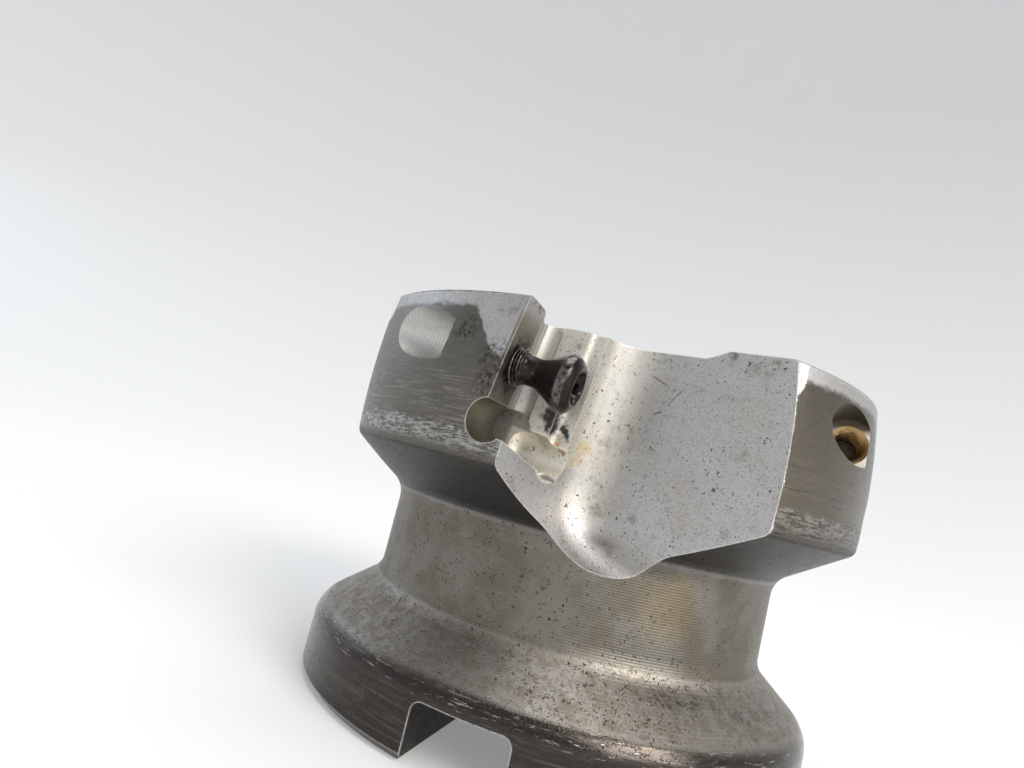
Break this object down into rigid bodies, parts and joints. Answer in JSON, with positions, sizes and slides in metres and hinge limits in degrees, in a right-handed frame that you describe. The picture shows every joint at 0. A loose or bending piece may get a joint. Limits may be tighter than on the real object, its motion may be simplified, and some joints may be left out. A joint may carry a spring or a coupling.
{
  "type": "indexable face mill",
  "caption": "Shell-mounted face mill body with waisted neck, open chip gullets, inclined insert seats, backed-out insert screws and keyed arbor bore; inserts absent.",
  "frame": {"origin": "centre of the arbor bore at the back face of the hub", "axes": "+Z along the bore axis, from the back face towards the cutting end; -Y faces the gullet of the first tooth"},
  "size_m": [0.0596, 0.0596, 0.0429],
  "materials": {
    "body_steel": "satin, pitted and burnished by use",
    "screw_steel": "black oxide, oily"
  },
  "bodies": {
    "root": {"mill_body": "body_steel", "insert_screw_1": "screw_steel", "insert_screw_2": "screw_steel", "insert_screw_3": "screw_steel", "insert_screw_4": "screw_steel"}
  },
  "joints": []
}
